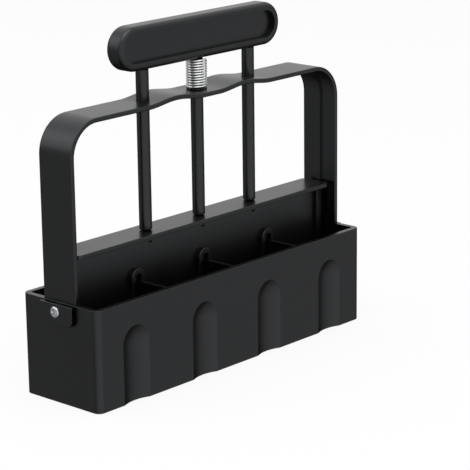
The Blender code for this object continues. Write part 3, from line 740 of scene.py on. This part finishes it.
def buildBridge():
    material = moulded("bridge plastic", bridgeLook)
    underside = bridgeTop - bridgeLook["thickness"]
    webTop = underside + bridgeLook["join"]
    bm = bmesh.new()
    corner = bridgeLook["corner"]
    outline = roundedRectangle(
        -bridgeHalf, bridgeHalf, -bridgeDepthHalf, bridgeDepthHalf, corner, corner, 12)
    addPrism(bm, outline, "Z", underside, bridgeTop)
    bridge = makeObject("bridge_beam", bm, material)
    addBevel(bridge, bridgeLook["edge"], 3, 60)
    webHalf = bridgeLook["webHalf"]
    bm = bmesh.new()
    webEnd, postLength = cellWallX - bridgeLook["webEnd"], bridgeLook["postLength"]
    reach = webEnd - postLength / 2
    addPrism(bm, rectangle(-reach, reach, -webHalf, webHalf), "Z", webBottom - overshoot, webTop)
    combine(bridge, makeObject("web_tool", bm), "UNION")
    bm = bmesh.new()
    reach = webHalf + bridgeLook["post"]
    for side in (-1, 1):
        near, far = sideSpan(side, webEnd, webEnd - postLength)
        addPrism(bm, rectangle(near, far, -reach, reach), "Z", webBottom - 4 * overshoot, webTop)
    posts = makeObject("post_tool", bm)
    addBevel(posts, bridgeLook["postEdge"], 3, 50)
    combine(bridge, posts, "UNION")
    bm = bmesh.new()
    reach = webHalf + bridgeLook["collar"]
    slotHalf, band = bridgeLook["slotHalf"], bridgeLook["band"]
    slotTop = mouldHeight + bridgeLook["slotRise"]
    for x in partitionPlaces:
        outline = arch(x, slotHalf + band, slotTop + band, webBottom - 2 * overshoot)
        addPrism(bm, outline, "Y", -reach, reach)
    collars = makeObject("collar_tool", bm)
    addBevel(collars, bridgeLook["collarEdge"], 4, 50)
    combine(bridge, collars, "UNION")
    bm = bmesh.new()
    for x in cellCentres:
        low, high = webBottom - 3 * overshoot, webBottom + bridgeLook["bossRise"]
        addCylinder(bm, bridgeLook["boss"], Vector((x, 0.0, 0.0)), "Z", low, high)
    combine(bridge, makeObject("boss_tool", bm), "UNION")
    bm = bmesh.new()
    # What hangs below the web's foot is trimmed level
    outline = rectangle(-bridgeHalf, bridgeHalf, -10 * overshoot, 10 * overshoot)
    addPrism(bm, outline, "Z", webBottom - 5 * overshoot, webBottom)
    combine(bridge, makeObject("foot_cutter", bm))
    bm = bmesh.new()
    for x in partitionPlaces:
        outline = arch(x, slotHalf, slotTop, webBottom - overshoot)
        addPrism(bm, outline, "Y", -reach - overshoot, reach + overshoot)
    combine(bridge, makeObject("slot_cutter", bm))
    bm = bmesh.new()
    for x in cellCentres:
        low, high = webBottom - overshoot, webBottom + bridgeLook["screwRise"]
        addCylinder(bm, bridgeLook["screwHole"], Vector((x, 0.0, 0.0)), "Z", low, high, 32)
    combine(bridge, makeObject("screw_cutter", bm))
    tongueHalf, tongueThick = bridgeLook["tongueHalf"], bridgeLook["tongueThick"]
    for x in rodPlaces.values():
        bm = bmesh.new()
        outline = rectangle(x - tongueHalf, x + tongueHalf, -tongueThick, tongueThick)
        addPrism(bm, outline, "Z", bridgeTop - bridgeLook["tongueDrop"], bridgeTop + overshoot)
        combine(bridge, makeObject("tongue_cutter", bm))
        bm = bmesh.new()
        addPrism(bm, pinHole(x), "Y", -bridgeLook["pinReach"], bridgeLook["pinReach"])
        combine(bridge, makeObject("pin_cutter", bm))
    bake(bridge, 35)
    dress(bridge, "plunger", "bridge_plastic", "bridge")


# Press plates and dibbers
plateLook = {
    "dark": (0.0009, 0.0009, 0.0010), "light": (0.0017, 0.0017, 0.0019), "roughness": 0.38, "specular": 0.48,
    "grain": 2200.0, "bump": 0.3, "scuff": 0.08, "flow": (1.0, 1.0, 1.0),
    "plate": 0.016, "tip": 0.004, "topRadius": 0.0095, "tipRadius": 0.007, "fillet": 0.0014,
    "gap": 0.00015, "bore": 0.0018, "headHole": 0.0035, "headDepth": 0.003, "headEdge": 0.0002,
    "screw": (0.0024, 0.0032, 0.0015), "screwRise": 0.012,
}


def buildPlates(steel):
    material = moulded("plate plastic", plateLook)
    low, top, gap = plateLook["tip"], plateLook["plate"], plateLook["gap"]
    fillet, bore, hole, edge = (plateLook[key] for key in ("fillet", "bore", "headHole", "headEdge"))
    seat = low + plateLook["headDepth"]
    profile = [(bore, top - gap), (plateLook["topRadius"], top - gap)]
    profile += arc(plateLook["tipRadius"] - fillet, low + fillet, fillet, 0, -90, 8)
    profile += [(hole + edge, low), (hole, low + edge), (hole, seat), (bore, seat)]
    for number, centre in enumerate(cellCentres, 1):
        repaint(f"press_plate_{number}", material)
        origin = Vector((centre, 0.0, 0.0))
        bm = bmesh.new()
        addTurned(bm, profile, origin, "Z", 72, ring=True)
        dibber = makeObject(f"dibber_peg_{number}", bm, material)
        dress(dibber, "plunger", "plate_plastic", f"dibber_{number}")
        buildScrew(
            f"peg_screw_{number}", "plunger", origin, "Z", -1,
            (gap - seat, *plateLook["screw"], -(webBottom + plateLook["screwRise"])), steel,
            [f"dibber_screw_{number}"])


# Camera, solved from the photograph's straight edges
cameraLook = {
    "turn": 47.832, "down": 15.43, "roll": 0.714, "pixels": 2055.13,
    "place": (-0.82181, -0.771804, 0.381678), "picture": 470, "sensor": 36.0,
}


def buildCamera():
    turn, down, roll = (math.radians(cameraLook[key]) for key in ("turn", "down", "roll"))
    ahead = Vector((math.sin(turn) * math.cos(down), math.cos(turn) * math.cos(down), -math.sin(down)))
    right = Vector((math.cos(turn), -math.sin(turn), 0.0))
    below = ahead.cross(right)
    rightRolled = right * math.cos(roll) + below * math.sin(roll)
    belowRolled = below * math.cos(roll) - right * math.sin(roll)
    lens = bpy.data.cameras.new("camera")
    lens.sensor_width = cameraLook["sensor"]
    lens.lens = cameraLook["pixels"] / cameraLook["picture"] * cameraLook["sensor"]
    lens.clip_start, lens.clip_end = 0.01, 20.0
    camera = bpy.data.objects.new("camera", lens)
    scene.collection.objects.link(camera)
    basis = Matrix((rightRolled, -belowRolled, -ahead)).transposed()
    camera.matrix_world = Matrix.Translation(cameraLook["place"]) @ basis.to_4x4()
    scene.camera = camera


# Studio: pale floor, broad soft lamps, and panels that only reflections see
studioLook = {
    "ambient": 0.72, "low": 0.03,
    "floor": (0.90, 0.90, 0.90), "mottle": (0.92, 0.92, 0.92), "floorDrop": 0.0002, "floorGlow": 0.88,
    "panels": {
        "front": {"toward": (-0.29, -0.90, 0.33), "fade": (-0.22, 0.741), "gain": 1.0},
        "left": {"toward": (-0.90, 0.43, 0.0), "fade": (0.25, 1.0), "gain": 0.40},
        "back": {"toward": (0.65, 0.71, 0.27), "fade": (0.86, 0.975), "gain": 0.87},
        "above": {"toward": (0.0, 0.0, 1.0), "fade": (0.12, 0.45), "gain": 1.0},
    },
    "lamps": {
        "overhead": {"at": (-0.25, -0.35, 1.4), "size": 1.3, "power": 9.0},
        "rim": {"at": (-1.3, 1.1, 1.0), "size": 1.4, "power": 5.0},
    },
    "lampTarget": (0.0, 0.0, 0.08),
}


def buildWorld():
    # The camera sees plain white, and reflections see soft panels that fade into a dim low side
    world = bpy.data.worlds.new("studio")
    scene.world = world
    surface = Surface("studio", world)
    camera, glossy, clear = surface.rays("Is Camera Ray", "Is Glossy Ray", "Is Transmission Ray")
    toward = surface.add("TexCoord", {}, {}, 0)
    panels = None
    for panel in studioLook["panels"].values():
        glow = surface.ramp(surface.facing(toward, panel["toward"]), *panel["fade"]) * panel["gain"]
        panels = glow if panels is None else panels.math("MAXIMUM", panels, glow)
    low = studioLook["low"]
    mirrored = low + panels * (1.0 - low)
    plain = camera.math("MAXIMUM", camera, clear)
    ambient = (1.0 - plain) * (1.0 - glossy) * studioLook["ambient"]
    strength = ambient + plain + glossy * mirrored
    shader = surface.add("Background", {}, {"Color": (1.0, 1.0, 1.0), "Strength": strength})
    surface.finish(shader, "OutputWorld")


def buildFloor():
    surface = Surface("floor")
    camera, = surface.rays("Is Camera Ray")
    mottle = surface.noise(surface.place(), 3.0, 2.0)
    pale = surface.mixColor(mottle, studioLook["floor"], studioLook["mottle"])
    matte = surface.add("BsdfDiffuse", {}, {"Color": pale})
    glow = surface.add("Emission", {}, {"Color": (1.0, 1.0, 1.0), "Strength": 1.0})
    shader = surface.add("MixShader", {}, {0: camera * studioLook["floorGlow"], 1: matte, 2: glow})
    bm = bmesh.new()
    bmesh.ops.create_grid(bm, x_segments=1, y_segments=1, size=4.0)
    floor = makeObject("floor", bm, surface.finish(shader))
    floor.location = (0.0, 0.0, -studioLook["floorDrop"])
    floor.visible_glossy = False


def buildLamps():
    for name, look in studioLook["lamps"].items():
        lamp = bpy.data.lights.new(name, "AREA")
        lamp.energy = look["power"]
        lamp.size = look["size"]
        holder = bpy.data.objects.new(name, lamp)
        holder.location = look["at"]
        aim = Vector(studioLook["lampTarget"]) - holder.location
        holder.rotation_euler = aim.to_track_quat("-Z", "Y").to_euler()
        scene.collection.objects.link(holder)


buildCamera()
buildWorld()
buildFloor()
buildLamps()
scene.view_settings.view_transform = "Standard"
buildMould()
buildStrap()
steelMaterial = buildSides()
buildRods()
buildSpring()
buildHandle(steelMaterial)
buildBridge()
buildPlates(steelMaterial)
print("all pieces built")
